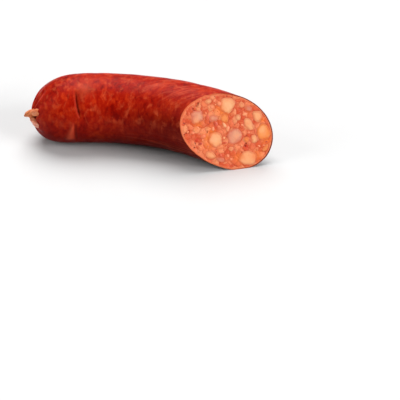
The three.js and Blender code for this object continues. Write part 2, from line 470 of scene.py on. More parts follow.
# The creases: how far from the tip each lies, and the degrees round the skin, from the
# underside, over which it deepens and then fades.
UPPER_CREASE = 26.4 * MM
UPPER_ARC = (207, 226, 246, 264)
LOWER_CREASE = 24.9 * MM
LOWER_ARC = (262, 276, 296, 310)
HOOK_START = math.radians(212)  # the upper crease bends toward the cut from here on
HOOK_SWEEP = math.radians(53)


def arc(g, turn, rise, full, fall, end):
    """1 over a stretch round the skin, easing in and out at its ends, in degrees."""
    risen = g.ease(turn, math.radians(rise), math.radians(full))
    return risen * (1 - g.ease(turn, math.radians(fall), math.radians(end)))


def creases(g, station, turn):
    """A crease that hooks round the closed end, and a shorter one below it, with masks of painted
    shade and painted highlight for the casing's colour.
    """
    depth = g.given("Crease Depth")
    hook = g.math("MAXIMUM", (turn - HOOK_START) / HOOK_SWEEP, 0.0)
    upper = station - (UPPER_CREASE + hook * (0.9 * MM) + hook * hook * hook * (2.6 * MM))
    lower = station - LOWER_CREASE
    upper_part, lower_part = arc(g, turn, *UPPER_ARC), arc(g, turn, *LOWER_ARC)
    upper_slit = g.bell(upper, 0.62 * MM) * upper_part
    lower_slit = g.bell(lower, 0.7 * MM) * lower_part * 0.6
    upper_lip = g.bell(upper + 1.1 * MM, 0.6 * MM) * 0.3 - g.bell(upper - 2.4 * MM, 2.0 * MM) * 0.5
    facet = 1.1 * MM + g.ease(turn, math.radians(266), math.radians(298)) * (2.6 * MM)
    lower_lip = g.bell(lower + facet, facet * 0.85)
    swell = g.bell(station - 32 * MM, 5 * MM) * g.bell(turn - math.radians(210), math.radians(12))
    relief = (upper_lip * upper_part + lower_lip * lower_part * 0.5 - upper_slit - lower_slit
              + swell * 0.4)
    # Painted shade: a dark band in each crease and beside it toward the cut.
    shade = (g.bell(upper - 1.4 * MM, 1.5 * MM) * upper_part * 0.55
             + g.bell(lower - 1.7 * MM, 1.9 * MM) * lower_part * 0.35)
    # Painted highlight: on the crease lips and on the swell beside the upper crease.
    shine = (g.bell(upper + 1.0 * MM, 0.4 * MM) * upper_part * 0.35
             + g.bell(lower + facet, facet * 0.7) * lower_part * 0.85 + swell * 0.9)
    return relief * depth, g.math("MAXIMUM", upper_slit * 0.85 + lower_slit, shade), shine


def gathers(g, station, aside, up):
    """Pleats that run to the knot, the cone that it draws out, and the hollow beside it."""
    above = up - KNOT_UP
    away = g.math("SQRT", aside * aside + above * above)
    near = 1 - g.ease(station, 6 * MM, 12 * MM)
    spokes = g.math("COSINE", g.math("ARCTAN2", above, aside) * 11 + away * 260)
    pleated = g.ease(away, 1.5 * MM, 4.5 * MM) * (1 - g.ease(away, 7 * MM, 17 * MM))
    hollow, below = aside - PIT[0], up - PIT[1]
    pit = g.math("EXPONENT", (hollow * hollow + below * below * 2) * (-1 / (1.9 * MM) ** 2)) * near
    cone = g.bell(away, 3.2 * MM) * near * (0.9 * MM)
    return spokes * pleated * g.given("Pleat Depth") + cone - pit * (1.9 * MM), pit


def skin_mesh(settings, material):
    """The skin evaluated for the scene's sizes."""
    shape, skin = settings.sausage_shape, settings.sausage_skin
    cut = Cut(shape)
    return grown("skin", skin_graph(material), {
        "Radius": shape.radius, "Taper": shape.taper, "Bend Radius": shape.bend_radius,
        "Sweep": shape.bend_sweep, "Dome Length": shape.dome_length,
        "Fullness": shape.dome_fullness, "Droop": shape.tip_droop,
        "Rest Depth": shape.rest_depth, "Cut Point": list(cut.point),
        "Cut Normal": list(cut.normal), "Rings": SKIN_RINGS, "Columns": SKIN_COLUMNS,
        "Lumpiness": skin.lumpiness, "Wrinkle Depth": skin.wrinkle_depth,
        "Crease Depth": skin.crease_depth, "Pleat Depth": skin.pleat_depth,
        "Shift": skin.seed * 0.37})


class Skin:
    """The skin as rings of points, from the tip to the cut, with what each point carries."""

    def __init__(self, settings, material):
        mesh = skin_mesh(settings, material)
        self.cut = Cut(settings.sausage_shape)
        self.points = self.read(mesh, "position", 3)
        self.straight = self.read(mesh, "straight", 3)
        self.slit = self.read(mesh, "slit", 1)
        self.crest = self.read(mesh, "crest", 1)
        bpy.data.meshes.remove(mesh)
        self.points[0] = self.points[0].mean(0)
        self.points[-1] = self.cut.slide(self.points[-1])
        self.points[..., 2] = np.maximum(self.points[..., 2], 0)
        normals = ring_normals(self.points)
        normals = sum(np.roll(normals, step, axis=1) for step in range(-EVENED, EVENED + 1))
        self.inward = -normals / np.linalg.norm(normals, axis=-1, keepdims=True)

    @staticmethod
    def read(mesh, name, width):
        """An attribute as an array of rings and columns, without the doubled last column."""
        values = np.zeros(len(mesh.vertices) * width, np.float32)
        field = {1: "value", 3: "vector"}[width]
        mesh.attributes[name].data.foreach_get(field, values)
        grid = values.reshape(SKIN_RINGS, SKIN_COLUMNS, width).astype(float)
        return grid[:, :-1]

    def inset(self, ring, depth):
        """A ring moved in from the skin."""
        return self.points[ring] + self.inward[ring] * depth


def ring_normals(points):
    """Outward normals of rings of points that run round a closed form."""
    along = np.gradient(points, axis=0)
    around = np.roll(points, -1, axis=1) - np.roll(points, 1, axis=1)
    normals = np.cross(along, around)
    sizes = np.linalg.norm(normals, axis=-1, keepdims=True)
    return normals / np.maximum(sizes, 1e-12)


def closed_mesh(name, start, rings, end, attributes=None):
    """A closed mesh lofted through rings of equal count, from one point to another."""
    points = np.concatenate([[start], *rings, [end]])
    count = len(rings[0])
    last = len(points) - 1 - count
    faces = [(0, 1 + a, 1 + b) for a, b in sides(count)]
    faces += bands(rings, 1)
    faces += [(last + a, len(points) - 1, last + b) for a, b in sides(count)]
    mesh = mesh_of(name, points, faces, attributes or {})
    mesh.polygons.foreach_set("use_smooth", np.ones(len(faces), bool))
    return mesh


def open_mesh(name, rings, attributes):
    """A surface lofted through closed rings and left open at both ends."""
    return mesh_of(name, np.concatenate(rings), bands(rings, 0), attributes)


def sides(count):
    """Each place round a ring, with the one that follows it."""
    columns = np.arange(count)
    return list(zip(columns, (columns + 1) % count))


def bands(rings, start):
    """The faces between rings, where the first ring's points are numbered from start."""
    count = len(rings[0])
    return [(low + a, low + count + a, low + count + b, low + b)
            for low in range(start, start + (len(rings) - 1) * count, count)
            for a, b in sides(count)]


def mesh_of(name, points, faces, attributes):
    """A mesh from points and faces that carries some attributes."""
    mesh = bpy.data.meshes.new(name)
    mesh.from_pydata(points.tolist(), [], faces)
    for label, values in attributes.items():
        keep(mesh, label, values)
    mesh.update()
    return mesh


def keep(mesh, label, values):
    """Stores an array of numbers or vectors on a mesh's vertices."""
    values = np.asarray(values, np.float32)
    kind, field = ("FLOAT_VECTOR", "vector") if values.ndim == 2 else ("FLOAT", "value")
    mesh.attributes.new(label, kind, "POINT").data.foreach_set(field, values.ravel())


def add_piece(name, mesh, material, slot, *nodes):
    """Puts a finished mesh in the scene as a piece of the sausage."""
    piece = bpy.data.objects.new(name, mesh)
    bpy.context.scene.collection.objects.link(piece)
    mesh.materials.clear()
    mesh.materials.append(material)
    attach(piece, "root")
    if nodes:
        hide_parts(*nodes)
    return piece


# --- Materials ------------------------------------------------------------------------------


def material_graph(name):
    """A new material's graph, emptied of its starting nodes."""
    material = bpy.data.materials.new(name)
    material.use_nodes = True
    material.node_tree.nodes.clear()
    return material, Graph(material.node_tree)


def finish_material(g, sockets):
    """Ends a material in one Principled shader."""
    shader = g.add("ShaderNodeBsdfPrincipled", None, sockets)
    g.add("ShaderNodeOutputMaterial", None, {"Surface": shader})


def bump(g, height, distance, strength=1.0):
    """A normal raised by a height from 0 to 1 over a distance in metres."""
    return g.add("ShaderNodeBump", None,
                 {"Height": height, "Distance": distance, "Strength": strength}, "Normal")


def casing_material(colours):
    """Smoked natural casing: glossy red, mottled in soft bands by the fat under it."""
    material, g = material_graph("smoked_casing")
    straight = g.stored("straight", "Vector")
    banded = straight * (1.5, 1.0, 1.0)
    warped = banded + (g.cloud(straight, 260.0, 2.0).other("Color") - 0.5) * 0.004
    broad = g.cloud(banded, 70.0, 2.0, 0.5, 0.3)
    patches = g.cloud(banded, 330.0, 3.0, 0.6, 0.4)
    spots = g.split(g.cells(warped, 360.0, "SMOOTH_F1", "Color"))[0]
    grain = g.cloud(straight, 620.0, 3.0, 0.6)
    hidden_fat = (g.ease(spots, 0.62, 0.9) * g.ease(g.cloud(straight, 95.0, 1.0), 0.42, 0.6))

    deep, red, warm = (tuple(c) for c in (colours.casing_deep, colours.casing_red,
                                          colours.casing_warm))
    tone = broad * 0.4 + patches * 0.42 + spots * 0.18
    colour = g.blend(g.ease(tone, 0.32, 0.5), deep, red)
    colour = g.blend(g.ease(tone, 0.45, 0.68) * 0.6, colour, warm)
    colour = g.blend(hidden_fat * 0.3, colour, warm)
    colour = g.blend(g.ease(grain, 0.5, 0.75) * 0.25, colour, deep)
    station, aside, up = g.split(straight)
    upper = g.ease(up, -0.0165, 0.016)
    toward_cut = g.ease(station, 0.03, 0.095)
    # Painted shade: the casing is darkened toward its underside, in a band at mid height toward the
    # cut, and along the very top.
    painted_shade = ((1 - upper) * (0.76 + toward_cut * 0.2)
              + toward_cut * g.bell(up - 0.006, 0.009) * 0.42
              + g.ease(up, 0.010, 0.021) * 0.2)
    colour = g.blend(painted_shade, colour, chart(64, 2, 1))
    # Painted highlight: pale pinkish glints in soft patches over the upper half of the casing.
    dry = g.cloud(straight * (1.3, 1.0, 1.0), 190.0, 3.0, 0.55, 0.4)
    dry = g.ease(dry, 0.5, 0.74) * g.ease(up, -0.008, 0.010) * 0.36
    colour = g.blend(dry, colour, chart(220, 96, 56))
    # Painted highlight: pale pink along the wrinkle crests, the crease lips and the swell.
    colour = g.blend(g.stored("crest") * 0.38, colour, chart(222, 98, 66))
    # Painted shade: dark red in and beside the creases and in the hollow beside the knot.
    colour = g.blend(g.stored("slit") * 0.85, colour, chart(92, 9, 4))
    browned = g.blend(g.ease(aside, -0.008, 0.013), chart(234, 118, 76), chart(120, 38, 18))
    colour = g.blend(g.stored("edge") * 0.85, colour, browned)

    fine = g.cloud(straight * (0.35, 1.0, 1.0), 1500.0, 3.0, 0.6)
    finish_material(g, {
        "Base Color": colour,
        "Roughness": 0.20 + g.cloud(banded, 130.0, 2.0) * 0.45,
        "Normal": bump(g, fine * 0.35 + patches * 0.65, 0.0003, 0.7),
        "IOR": 1.42,
        "Specular IOR Level": 0.04,
        "Subsurface Weight": 0.08,
        "Subsurface Radius": (1.0, 0.2, 0.1),
        "Subsurface Scale": 0.0014,
        "Coat Weight": 0.01 + upper * 0.022,
        "Coat Roughness": 0.32,
    })
    return material


def meat_pattern(g, place):
    """The grain of ground meat at places: what its relief and its colours are made from."""
    warped = place + (g.cloud(place, 420.0, 2.0).other("Color") - 0.5) * 0.0026
    return {
        "broad": g.cloud(place, 120.0, 2.0),
        "pieces": g.split(g.cells(warped, 310.0, "F1", "Color"))[0],
        "grains": g.split(g.cells(warped, 800.0, "F1", "Color"))[0],
        "seams": g.ease(g.cells(warped, 310.0, "DISTANCE_TO_EDGE"), 0.0, 0.28),
        "strands": g.cloud(warped * (1.0, 1.0, 2.2), 700.0, 3.0, 0.6, 0.6),
        "specks": g.ease(g.cloud(place, 620.0, 1.0), 0.67, 0.75),
    }


def meat_material(colours):
    """The cut face: a mosaic of ground meat, smeared fat, dark grains and paprika oil."""
    material, g = material_graph("ground_meat")
    pattern = meat_pattern(g, g.add("ShaderNodeTexCoord", None, None, "Object"))
    strands, seams = pattern["strands"], pattern["seams"]
    meat, dark, pale = tuple(colours.meat), tuple(colours.meat_dark), tuple(colours.meat_pale)
    lean = chart(206, 50, 26)

    colour = g.blend(g.ease(pattern["pieces"], 0.25, 0.75) * 0.9, meat, pale)
    colour = g.blend(g.ease(pattern["pieces"], 0.7, 0.95) * 0.5, colour, tuple(colours.fat_peach))
    colour = g.blend(g.ease(pattern["grains"], 0.6, 1.0) * 0.4, colour, pale)
    colour = g.blend(g.ease(strands, 0.5, 0.78) * 0.55, colour, dark)
    colour = g.blend((1 - seams) * 0.32, colour, dark)
    colour = g.blend(g.stored("redness") * 0.85, colour, lean)
    colour = g.blend(pattern["specks"] * 0.85, colour, chart(128, 22, 14))
    # Painted shade: the small holes, also sunk in the relief, are coloured darker.
    colour = g.blend(g.stored("hole") * 0.85, colour, chart(132, 28, 16))
    oil = g.stored("stain") * 0.8 + g.ease(pattern["broad"], 0.58, 0.75) * 0.3
    colour = g.blend(g.math("MINIMUM", oil, 1.0), colour, tuple(colours.oil))
    colour = g.blend((1 - g.ease(g.stored("fat_gap"), 0.0, 0.0009)) * 0.25, colour, dark)
    rim = 1 - g.ease(g.stored("rim_gap"), 0.0002, 0.001)
    colour = g.blend(rim * 0.6, colour, chart(238, 126, 84))
    finish_material(g, {
        "Base Color": colour,
        "Roughness": 0.34 + strands * 0.2,
        "Normal": bump(g, seams * 0.6 + strands * 0.4, 0.0002, 0.6),
        "IOR": 1.4,
        "Specular IOR Level": 0.25,
        "Subsurface Weight": 0.3,
        "Subsurface Radius": (1.0, 0.35, 0.2),
        "Subsurface Scale": 0.0014,
        "Coat Weight": 0.06,
        "Coat Roughness": 0.2,
    })
    return material


def fat_material(name, base, colours):
    """Back fat: waxy and pale, marbled and stained by paprika oil toward one side."""
    material, g = material_graph(name)
    place = g.add("ShaderNodeTexCoord", None, None, "Object")
    stain = g.ease(g.cloud(place, 170.0, 2.0, 0.5, 0.4), 0.5, 0.75) * 0.4 + g.stored("stain") * 0.8
    marbling = g.cloud(place, 520.0, 3.0, 0.6)
    colour = g.blend(g.math("MINIMUM", stain, 1.0), tuple(base), tuple(colours.oil))
    colour = g.blend(g.ease(marbling, 0.45, 0.8) * 0.5, colour, tuple(colours.meat_pale))
    inward = g.stored("edge_gap") + (marbling - 0.5) * 0.0026
    # Partly painted highlight: pale cream patches inside each piece, partly the fat's own paler
    # core.
    waxy = g.ease(g.cloud(place, 150.0, 1.0), 0.4, 0.65) * g.ease(inward, 0.0004, 0.002)
    colour = g.blend(waxy * 0.35, colour, chart(250, 196, 152))
    colour = g.blend((1 - g.ease(inward, 0.0002, 0.0013)) * 0.5, colour, tuple(colours.meat))
    finish_material(g, {
        "Base Color": colour,
        "Roughness": 0.34 + marbling * 0.14,
        "Normal": bump(g, marbling, 0.00016, 0.7),
        "IOR": 1.44,
        "Specular IOR Level": 0.25,
        "Subsurface Weight": 0.4,
        "Subsurface Radius": (1.0, 0.5, 0.3),
        "Subsurface Scale": 0.0022,
        "Coat Weight": 0.06,
        "Coat Roughness": 0.2,
    })
    return material


def crumb_material(colours):
    """Crumbs of meat and fat, from dark meat to pale fat by each crumb's own tint."""
    material, g = material_graph("crumbs")
    place = g.add("ShaderNodeTexCoord", None, None, "Object")
    marbling = g.cloud(place, 1100.0, 2.0)
    tone = g.stored("tint") + (marbling - 0.5) * 0.25
    stops = [(0.0, colours.meat_dark), (0.15, colours.meat), (0.45, colours.meat_pale),
             (0.8, chart(248, 158, 106)), (1.0, colours.fat_peach)]
    colour = g.add("ShaderNodeValToRGB", {"stops": stops}, {"Fac": tone})
    colour = g.blend((1 - g.stored("crown")) * 0.7, colour, tuple(colours.meat))
    finish_material(g, {
        "Base Color": colour,
        "Roughness": 0.36 + marbling * 0.16,
        "Normal": bump(g, marbling, 0.00012, 0.8),
        "IOR": 1.42,
        "Subsurface Weight": 0.2,
        "Subsurface Radius": (1.0, 0.5, 0.3),
        "Subsurface Scale": 0.0012,
        "Coat Weight": 0.12,
        "Coat Roughness": 0.25,
    })
    return material


def knot_material(colours):
    """Gathered casing that has dried pale where it was drawn tight."""
    material, g = material_graph("dried_casing")
    place = g.add("ShaderNodeTexCoord", None, None, "Object")
    folds = g.cloud(place * (0.5, 1.0, 1.0), 900.0, 3.0, 0.6, 0.5)
    broad = g.cloud(place, 260.0, 2.0)
    colour = g.blend(g.ease(broad, 0.4, 0.75) * 0.5, tuple(colours.knot), chart(230, 148, 96))
    colour = g.blend(g.stored("lower") * 0.9, colour, chart(226, 146, 122))
    colour = g.blend(g.stored("ruddy") * 0.5, colour, chart(220, 106, 64))
    # Painted shade: darker along the fine folds of the gathered casing.
    colour = g.blend(g.ease(folds, 0.52, 0.8) * 0.6, colour, chart(178, 74, 38))
    colour = g.blend(g.stored("dry") * 0.55, colour, chart(140, 62, 30))
    finish_material(g, {
        "Base Color": colour,
        "Roughness": 0.42 + folds * 0.2,
        "Normal": bump(g, folds, 0.0003, 0.9),
        "IOR": 1.42,
        "Subsurface Weight": 0.25,
        "Subsurface Radius": (1.0, 0.45, 0.25),
        "Subsurface Scale": 0.0014,
        "Coat Weight": 0.1,
        "Coat Roughness": 0.3,
    })
    return material


# --- Pieces ---------------------------------------------------------------------------------


class SAUSAGE_OT_casing(bpy.types.Operator):
    """Add the casing: the skin, its cut edge and its inner wall"""

    bl_idname = "sausage.casing"
    bl_label = "Casing"

    def execute(self, context):
        scene = context.scene
        material = casing_material(scene.sausage_colours)
        skin = Skin(scene, material)
        wall = scene.sausage_shape.wall
        outer = list(skin.points[1:])
        inner = [skin.inset(ring, wall + extra) for ring, extra in zip(INNER_ROWS, INNER_DEPTHS)]
        inner[0] = skin.cut.slide(inner[0])
        rows = [*range(1, SKIN_RINGS), *INNER_ROWS]
        edge = np.array([0] * (SKIN_RINGS - 2) + [1.0] * (1 + len(INNER_ROWS)))
        attributes = {
            "straight": tipped(skin.straight, rows),
            "slit": tipped(skin.slit, rows),
            "crest": tipped(skin.crest, rows),
            "edge": np.concatenate([[0], np.repeat(edge, SKIN_COLUMNS - 1), [0]]),
        }
        tip = skin.points[0, 0]
        inner_tip = inner[-1].mean(0)
        mesh = closed_mesh("casing", tip, outer + inner, inner_tip, attributes)
        add_piece("sausage_casing", mesh, material, "casing", "casing")
        return {"FINISHED"}


def tipped(values, rows):
    """What the skin carries on some rows, with the tip's value before and after them."""
    tip = values[0, :1]
    return np.concatenate([tip, *values[rows], tip]).squeeze()


class CutFace:
    """Places on the cut face, as distances across it, up it and along the sausage."""

    def __init__(self, cut):
        self.cut = cut

    def places(self, points):
        """Where points lie: across, rise and along, the last below zero inside the sausage."""
        offset = points - self.cut.centre
        along = offset @ self.cut.normal / (self.cut.on @ self.cut.normal)
        level = offset - along[..., None] * self.cut.on
        return np.stack([level @ self.cut.across, level @ self.cut.rise, along], -1)

    def points(self, places):
        """The points at such places."""
        return (self.cut.centre + places[..., :1] * self.cut.across
                + places[..., 1:2] * self.cut.rise + places[..., 2:] * self.cut.on)


WAVER_SEED = 44


def waver(places, size, shift):
    """Smooth random shifts from -1 to 1 at places, in features of a size, the same each run."""
    noise.seed_set(WAVER_SEED)
    moved = places / size + shift
    return np.array([noise.noise_vector(place) for place in moved.tolist()])


def coordinates(mesh):
    """A mesh's vertices as an array."""
    points = np.zeros(len(mesh.vertices) * 3, np.float32)
    mesh.vertices.foreach_get("co", points)
    return points.reshape(-1, 3).astype(float)


def remeshed(name, mesh, voxel, smoothing):
    """A closed mesh rebuilt from small even faces, with its corners smoothed."""
    host = bpy.data.objects.new(name, mesh)
    bpy.context.scene.collection.objects.link(host)
    rebuild = host.modifiers.new("Rebuild", "REMESH")
    rebuild.mode = "VOXEL"
    rebuild.voxel_size = voxel
    rebuild.use_smooth_shade = True
    soften = host.modifiers.new("Soften", "SMOOTH")
    soften.factor = 0.5
    soften.iterations = smoothing
    evaluated = host.evaluated_get(bpy.context.evaluated_depsgraph_get())
    made = bpy.data.meshes.new_from_object(evaluated)
    bpy.data.objects.remove(host)
    bpy.data.meshes.remove(mesh)
    made.name = name
    return made


def merged_copy(node):
    """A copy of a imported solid's mesh with its loose triangles joined."""
    mesh = frame["nodes"][node].data.copy()
    builder = bmesh.new()
    builder.from_mesh(mesh)
    bmesh.ops.remove_doubles(builder, verts=builder.verts, dist=0.002 * MM)
    builder.to_mesh(mesh)
    builder.free()
    return mesh


# Pieces with a slot of their own; the rest are pale.
FAT_SLOTS = {**dict.fromkeys((2, 3, 13, 16, 20), "fat_pink"),
             **dict.fromkeys((5, 10, 14, 19), "fat_orange")}
FAT_SPREAD = 1.12  # how much wider a piece is shown than it is packed
FAT_DEPTH_REACH = 1.3  # a piece reaches this many half depths below the cut
FAT_SINK = 0.3  # its widest level, in half depths below the cut
FLATS = 5  # sides of a piece that its neighbours have pressed flat
FLAT_SHARES = (0.8, 0.96)  # of its reach that way, left on a pressed side
PRESSING = 0.6  # how flat a pressed side is
FAT_RIM_GAP = 0.3 * MM  # between the fat and the casing's inner wall


def pressed(offset, number, seed):
    """Offsets from the middle of a piece of fat, with flats where its neighbours pressed it."""
    picks = np.random.default_rng((seed, number))
    turns = (np.arange(FLATS) + picks.uniform(-0.3, 0.3, FLATS) + picks.uniform()) / FLATS
    for turn, kept in zip(turns * math.tau, picks.uniform(*FLAT_SHARES, FLATS)):
        side = np.array((math.cos(turn), math.sin(turn)))
        past = offset @ side - kept * (offset @ side).max()
        offset = offset - PRESSING * np.maximum(past, 0)[:, None] * side
    return offset


def within_rim(level, rim):
    """Places on the face, moved toward its centre until they are clear of the casing."""
    limits = np.interp(np.arctan2(level[:, 1], level[:, 0]), np.arctan2(rim[:, 1], rim[:, 0]),
                       np.hypot(rim[:, 0], rim[:, 1]), period=math.tau) - FAT_RIM_GAP
    return level * np.minimum(1, limits / np.hypot(level[:, 0], level[:, 1]))[:, None]


def fat_mesh(node, face, rim, number, seed):
    """A piece of fat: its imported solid, upright at the sides, dented, and just proud on top."""
    mesh = remeshed(node, merged_copy(node), 0.24 * MM, 3)
    places = face.places(coordinates(mesh))
    half_depth = -places[:, 2].min() / FAT_DEPTH_REACH
    middle, reach = middle_and_reach(places)
    level = np.clip(places[:, 2] / half_depth + FAT_SINK, 0, FAT_SINK)
    spread = FAT_SPREAD / np.sqrt(1 - level ** 2)
    offset = pressed((places[:, :2] - middle) * spread[:, None], number, seed)
    broad = waver(places * (1, 1, 0.4), 0.9 * reach, 11.0 * number)[:, :2]
    fine = waver(places * (1, 1, 0.5), 1.3 * MM, 5.0 * number)
    offset += broad * (0.12 * reach + 0.10 * MM) + fine[:, :2] * 0.12 * MM
    crown = 1 - np.minimum((offset ** 2).sum(1) / reach ** 2, 1)
    near_top = np.clip(1 + places[:, 2] / (0.5 * MM), 0, 1)
    places[:, 2] += near_top * (crown * 0.11 + fine[:, 2] * 0.05) * MM
    places[:, :2] = within_rim(middle + offset, rim)
    mesh.vertices.foreach_set("co", face.points(places).ravel())
    keep(mesh, "edge_gap", nearest(places[:, :2], outline(places)))
    keep(mesh, "stain", stains(face, places))
    mesh.update()
    return mesh


def outline(places):
    """Those places that lie round the sides of the fat, just below the cut."""
    return places[(places[:, 2] < -0.5 * MM) & (places[:, 2] > -1.2 * MM), :2]


def nearest(places, others):
    """How far each place is from the nearest of some others, in the plane."""
    tree = KDTree(len(others))
    for index, (x, y) in enumerate(others.tolist()):
        tree.insert((x, y, 0), index)
    tree.balance()
    return np.array([tree.find((x, y, 0))[2] for x, y in places.tolist()])


class SAUSAGE_OT_fat(bpy.types.Operator):
    """Add the pieces of back fat that the knife has laid open"""

    bl_idname = "sausage.fat"
    bl_label = "Fat Pieces"

    def execute(self, context):
        colours = context.scene.sausage_colours
        skin = Skin(context.scene, None)
        face = CutFace(skin.cut)
        wall = context.scene.sausage_shape.wall
        rim = face.places(skin.cut.slide(skin.inset(SKIN_RINGS - 1, wall)))
        tints = {"fat_pale": colours.fat_peach, "fat_pink": colours.fat_pink,
                 "fat_orange": colours.fat_orange}
        materials = {slot: fat_material(slot, base, colours) for slot, base in tints.items()}
        for number, node in enumerate(FAT_NODES, 1):
            slot = FAT_SLOTS.get(number, "fat_pale")
            mesh = fat_mesh(node, face, rim, number, context.scene.sausage_skin.seed)
            add_piece(node + "_cut", mesh, materials[slot], slot, node)
        return {"FINISHED"}


FACE_RINGS = 104
# The meat's distance from the wall at some of the inner rows, wider behind the knot's root.
MEAT_GAPS = ((0, 0.02), (4, 0.3), (8, 0.3), (11, 1.6), (13, 1.9))
POCKET_REACH = 9 * MM  # fat is looked for this far below the face
POCKET_ROOM = 0.12 * MM  # left under a piece of fat
POCKET_LIP = 0.28 * MM  # the meat reaches this far over the edge of a piece of fat
RELIEF_EASE = 0.8 * MM  # in from the rim, over which the face's relief grows
GRAIN_DEPTH = 0.13 * MM


def fat_pieces():
    """The pieces of fat that are in the scene."""
    found = [o for o in bpy.context.scene.objects if o.name.startswith("fat_piece")
             and o.name.endswith("_cut")]
    if not found:
        raise RuntimeError("add the fat pieces before the meat that holds them")
    return found


def joined_tree(objects):
    """One search tree over the faces of several objects."""
    points, faces, start = [], [], 0
    for item in objects:
        points += [v.co for v in item.data.vertices]
        faces += [[start + i for i in polygon.vertices] for polygon in item.data.polygons]
        start = len(points)
    return BVHTree.FromPolygons(points, faces)


def doubled(ring):
    """A ring with a point added between each two."""
    between = (ring + np.roll(ring, -1, axis=0)) / 2
    return np.stack([ring, between], 1).reshape(-1, 3)


def pockets(cut, points, tree):
    """How far each point of the face sinks, along the sausage, to clear the fat over it."""
    start = points - cut.on * POCKET_REACH
    direction = Vector(cut.on)
    depths = np.zeros(len(points))
    for index, place in enumerate(start.tolist()):
        hit = tree.ray_cast(place, direction, POCKET_REACH + 0.1 * MM)
        if hit[0] is not None:
            depths[index] = POCKET_REACH - hit[3] + POCKET_ROOM
    return depths


def relief_graph(material):
    """Gives the cut face of ground meat its seams, grains and pits."""
    g = geometry_graph("Ground Face", {"Depth": "Float", "Normal": "Vector"})
    pattern = meat_pattern(g, g.add("GeometryNodeInputPosition"))
    raised = (pattern["seams"] * 0.6 + pattern["strands"] * 0.8 - pattern["specks"] * 1.6
              - g.kept("hole") * 4 - 1.2) * g.kept("open") * g.given("Depth")
    mesh = g.add("GeometryNodeSetPosition", None, {
        "Geometry": g.given("Mesh"), "Offset": g.given("Normal") * raised})
    return finish_geometry(g, mesh, material)


def flat_face(skin, gap):
    """Rings of points over the cut face, from the rim to just short of the centre."""
    rim = doubled(skin.cut.slide(skin.inset(SKIN_RINGS - 1, gap)))
    shares = np.arange(FACE_RINGS) / FACE_RINGS
    return rim + (skin.cut.centre - rim) * shares[:, None, None]


class FacePoints:
    """Points over the cut face: how far each is from rim and fat, and how far it sinks."""

    def __init__(self, skin, gap, every=1):
        face, fat = CutFace(skin.cut), fat_pieces()
        sides_of_fat = outline(np.concatenate([face.places(coordinates(item.data))
                                               for item in fat]))
        self.rings = flat_face(skin, gap)[::every]
        self.flat = self.rings.reshape(-1, 3)
        self.places = face.places(self.flat)
        self.rim_gap = np.linalg.norm(self.rings - self.rings[:1], axis=-1).ravel()
        self.fat_gap = nearest(self.places[:, :2], sides_of_fat)
        self.sunk = pockets(skin.cut, self.flat, joined_tree(fat))


class SAUSAGE_OT_filling(bpy.types.Operator):
    """Add the ground meat, with pockets in its cut face for the pieces of fat"""

    bl_idname = "sausage.filling"
    bl_label = "Filling"

    def execute(self, context):
        scene = context.scene
        material = meat_material(scene.sausage_colours)
        skin = Skin(scene, material)
        face, shape = CutFace(skin.cut), scene.sausage_shape
        top = FacePoints(skin, shape.wall + MEAT_GAPS[0][1] * MM)
        top.sunk[top.fat_gap < POCKET_LIP] = 0
        rings = (top.flat - top.sunk[:, None] * skin.cut.on).reshape(top.rings.shape)
        clear = np.interp(range(len(INNER_ROWS)), *zip(*MEAT_GAPS)) * MM
        body = [doubled(skin.inset(ring, shape.wall + extra))
                for ring, extra in zip(INNER_ROWS[:0:-1], (INNER_DEPTHS + clear)[:0:-1])]

        # What the meat carries: its value inside, over the face and in the face's middle.
        bare = np.clip(top.rim_gap / RELIEF_EASE, 0, 1) * (top.sunk == 0)
        carried = {
            "open": (0, bare, 1),
            "rim_gap": (0, top.rim_gap, 0.02),
            "fat_gap": (0.01, top.fat_gap, 0.01),
            "stain": (0, stains(face, top.places), 0),
            "hole": (0, holes(face, shape, top.places, scene.sausage_skin.seed), 0),
            "redness": (0, red_spots(face, shape, top.places), 0),
        }
        inside = 1 + len(body) * len(rings[0])
        mesh = closed_mesh("filling", body[0].mean(0), [*body, *rings], skin.cut.centre, {
            name: np.concatenate([np.full(inside, behind), values, [middle]])
            for name, (behind, values, middle) in carried.items()})
        mesh = grown("filling", relief_graph(material), {
            "Depth": GRAIN_DEPTH, "Normal": list(skin.cut.normal)}, mesh)
        add_piece("ground_meat", mesh, material, "filling", "filling")
        return {"FINISHED"}


# Paprika oil has run out of these pieces of fat: to which sides, in degrees round from across.
OIL_RUNS = {1: (200, 225), 2: (270,), 4: (110, 160, 210), 5: (0, 285), 6: (170, 10), 7: (320,),
            14: (75, 260)}
OIL_REACH = 1.2  # a stain's middle lies this many radii from the middle of its piece
OIL_SPREAD = 0.65  # its own radius, in radii of its piece
# Lean meat that shows redder, as on a clock's dial: the hour toward which it lies, its share
# of the way to the rim, and its radius in millimetres.
LEAN_SPOTS = ((9.75, 0.3, 2), (11.5, 0.9, 1), (2.5, 0.65, 1), (3, 0.5, 1), (4.5, 0.5, 1.5),
              (6.75, 0.8, 1.5), (9.25, 0.9, 1), (8.75, 0.8, 1.5))
# Places where the meat has drawn apart into small holes: the hour and the share.
HOLE_CLUSTERS = ((10.5, 0.9), (10.25, 0.9), (9.25, 0.9), (2, 0.8), (3, 0.5), (4.5, 0.5))
HOLES_IN_CLUSTER = 3
HOLE_SCATTER = 0.8 * MM
HOLE_RADII = (0.35 * MM, 0.6 * MM)


def middle_and_reach(places):
    """The middle of a piece on the face, and its mean radius."""
    low, high = places[:, :2].min(0), places[:, :2].max(0)
    return (low + high) / 2, (high - low).mean() / 2


def soaked(places, spots):
    """A share from 0 to 1 at each place, high in the middle of the nearest spot."""
    share = np.zeros(len(places))
    for across, rise, radius in spots:
        away = np.hypot(places[:, 0] - across, places[:, 1] - rise)
        share = np.maximum(share, np.exp(-((away / radius) ** 2)))
    return share


